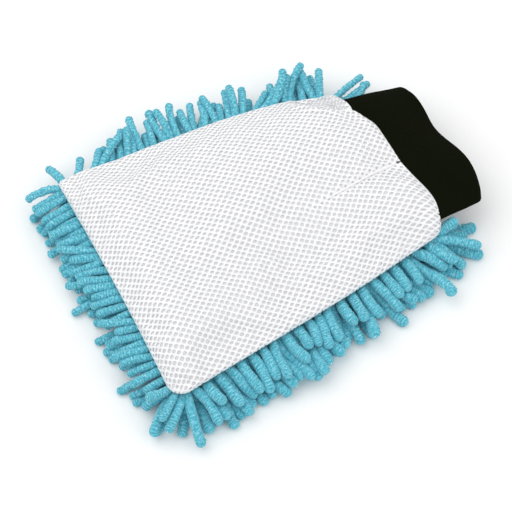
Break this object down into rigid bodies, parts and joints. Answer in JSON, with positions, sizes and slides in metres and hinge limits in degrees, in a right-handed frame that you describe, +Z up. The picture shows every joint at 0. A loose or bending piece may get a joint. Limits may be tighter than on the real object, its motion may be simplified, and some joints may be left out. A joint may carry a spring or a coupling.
{
  "type": "wash mitt",
  "caption": "Hand-shaped wash mitt with a perforated air-mesh back, a palm and fringe of thick chenille noodles, a lined hand pocket and a folded rib-knit cuff.",
  "frame": {"origin": "on the surface that the mitt lies on, under the middle of the whole mitt's box", "axes": "+X from the fingertips towards the cuff, +Y across the mitt, +Z up from the chenille palm to the mesh back"},
  "size_m": [0.3014, 0.2524, 0.0423],
  "materials": {
    "white_mesh": "open hexagonal air-mesh net",
    "white_backing": "closed fine knit, seen through the net",
    "white_lining": "smooth warp-knit lining",
    "turquoise_cloth": "flat knitted base cloth",
    "turquoise_chenille": "soft microfibre chenille pile",
    "white_thread": "twisted polyester sewing thread",
    "black_thread": "twisted polyester sewing thread",
    "black_knit": "fine matt rib knit"
  },
  "bodies": {
    "mitt": {"mesh_face": "white_mesh", "mesh_backing": "white_backing", "lining_top": "white_lining", "lining_palm": "white_lining", "chenille_base": "turquoise_cloth", "chenille_row_01": "turquoise_chenille", "chenille_row_02": "turquoise_chenille", "chenille_row_03": "turquoise_chenille", "chenille_row_04": "turquoise_chenille", "chenille_row_05": "turquoise_chenille", "chenille_row_06": "turquoise_chenille", "chenille_row_07": "turquoise_chenille", "chenille_row_08": "turquoise_chenille", "chenille_row_09": "turquoise_chenille", "chenille_row_10": "turquoise_chenille", "chenille_row_11": "turquoise_chenille", "chenille_row_12": "turquoise_chenille", "chenille_row_13": "turquoise_chenille", "chenille_row_14": "turquoise_chenille", "chenille_row_15": "turquoise_chenille", "chenille_row_16": "turquoise_chenille", "chenille_row_17": "turquoise_chenille", "chenille_row_18": "turquoise_chenille", "chenille_row_19": "turquoise_chenille", "chenille_row_20": "turquoise_chenille", "chenille_row_21": "turquoise_chenille", "chenille_row_22": "turquoise_chenille", "chenille_row_23": "turquoise_chenille", "chenille_row_24": "turquoise_chenille", "side_seam_stitching": "white_thread", "wrist_seam_stitching": "black_thread", "pleat_tack": "black_thread", "cuff_root": "black_knit"},
    "cuff": {"knit_cuff": "black_knit"}
  },
  "joints": [
    {"name": "cuff_flex", "type": "hinge", "parent": "mitt", "child": "cuff", "pos_m": [0.1087, 0, 0.0305], "axis": [0, -1, 0], "range_deg": [-35, 40], "deforming": ["cuff_root"]}
  ]
}
